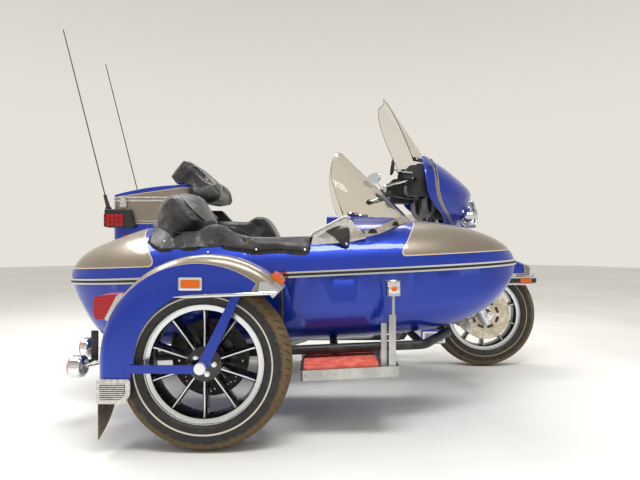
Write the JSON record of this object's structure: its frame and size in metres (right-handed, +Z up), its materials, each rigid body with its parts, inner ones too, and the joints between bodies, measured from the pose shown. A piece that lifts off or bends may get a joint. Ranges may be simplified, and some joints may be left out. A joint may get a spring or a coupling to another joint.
{
  "type": "sidecar motorcycle",
  "caption": "Touring motorcycle with fork-mounted fairing and hard luggage, carrying a boat-shaped single-seat sidecar with its own wheel, screen and boarding step.",
  "frame": {"origin": "bottom centre of the bounding box, on the floor between the three wheels' contact planes", "axes": "+X forward, +Y to the motorcycle's left (away from the sidecar), +Z up"},
  "size_m": [2.739, 1.809, 1.9326],
  "materials": {
    "blue": "gloss metallic blue",
    "silver": "gloss metallic grey",
    "black_paint": "satin black",
    "chrome": "mirror",
    "cast": "machined and cast",
    "rim_black": "gloss black with machined edges",
    "tyre": "dirty rubber",
    "rubber": "matt",
    "mat": "coral ribbed",
    "leather": "worn black leather",
    "glass": "clear acrylic",
    "plastic_black": "grained",
    "lamp": "coloured lens",
    "belt": "toothed",
    "step_alu": "brushed"
  },
  "bodies": {
    "chassis": {"frame": "black_paint", "swingarm": "black_paint", "axles": "chrome", "shocks": "chrome", "crankcase": "cast", "cylinders": "cast", "air_cleaner": "chrome", "primary_cover": "chrome", "exhaust": "chrome", "drive_belt": "belt", "fuel_tank": "blue", "side_covers": "blue", "rear_fender": "blue", "floorboards": "rubber", "guards": "chrome", "rider_seat": "leather", "armrests": "plastic_black", "saddlebags": "blue", "tour_box": "blue", "rear_lamps": "lamp", "aerials": "plastic_black", "sidecar_chassis": "black_paint", "sidecar_body": "blue", "belt_strip": "chrome", "coaming": "leather", "sidecar_seats": "leather", "sidecar_screen": "glass", "screen_mount": "step_alu", "sidecar_fender": "blue", "fender_trim": "blue", "mud_flap": "rubber", "sidecar_lamps": "lamp", "rear_indicators": "chrome", "step": "step_alu", "step_mat": "mat"},
    "steering": {"fork": "chrome", "front_axle": "chrome", "front_calipers": "cast", "front_fender": "blue", "front_rail": "chrome", "fairing": "blue", "fairing_inner": "plastic_black", "windshield": "glass", "headlamps": "chrome", "handlebar": "chrome"},
    "front_wheel": {"front_tyre": "tyre", "front_rim": "rim_black"},
    "rear_wheel": {"rear_tyre": "tyre", "rear_rim": "rim_black"},
    "sidecar_wheel": {"sidecar_tyre": "tyre", "sidecar_rim": "rim_black"},
    "tour_lid": {"tour_lid": "blue", "backrest": "leather"},
    "bag_lid_left": {"bag_lid_left": "blue"},
    "bag_lid_right": {"bag_lid_right": "blue"},
    "side_stand": {"side_stand": "black_paint"}
  },
  "joints": [
    {"name": "steering", "type": "hinge", "parent": "chassis", "child": "steering", "pos_m": [0.792, 0.40549, 0.85385], "axis": [-0.4384, 0, 0.8988], "range_deg": [-35, 35]},
    {"name": "front_wheel_spin", "type": "hinge", "parent": "steering", "child": "front_wheel", "pos_m": [1.05146, 0.40549, 0.315], "axis": [0, 1, 0], "continuous": true},
    {"name": "rear_wheel_spin", "type": "hinge", "parent": "chassis", "child": "rear_wheel", "pos_m": [-0.54854, 0.40549, 0.315], "axis": [0, 1, 0], "continuous": true},
    {"name": "sidecar_wheel_spin", "type": "hinge", "parent": "chassis", "child": "sidecar_wheel", "pos_m": [-0.35254, -0.79451, 0.315], "axis": [0, 1, 0], "continuous": true},
    {"name": "tour_lid_hinge", "type": "hinge", "parent": "chassis", "child": "tour_lid", "pos_m": [-0.88954, 0.68999, 0.989], "axis": [-1, 0, 0], "range_deg": [0, 85]},
    {"name": "bag_lid_left_hinge", "type": "hinge", "parent": "chassis", "child": "bag_lid_left", "pos_m": [-0.75854, 0.81199, 0.6], "axis": [-1, 0, 0], "range_deg": [0, 80]},
    {"name": "bag_lid_right_hinge", "type": "hinge", "parent": "chassis", "child": "bag_lid_right", "pos_m": [-0.75854, -0.00101, 0.6], "axis": [1, 0, 0], "range_deg": [0, 55]},
    {"name": "side_stand_pivot", "type": "hinge", "parent": "chassis", "child": "side_stand", "pos_m": [0.23345, 0.54749, 0.192], "axis": [0, -1, 0], "range_deg": [0, 95]}
  ]
}
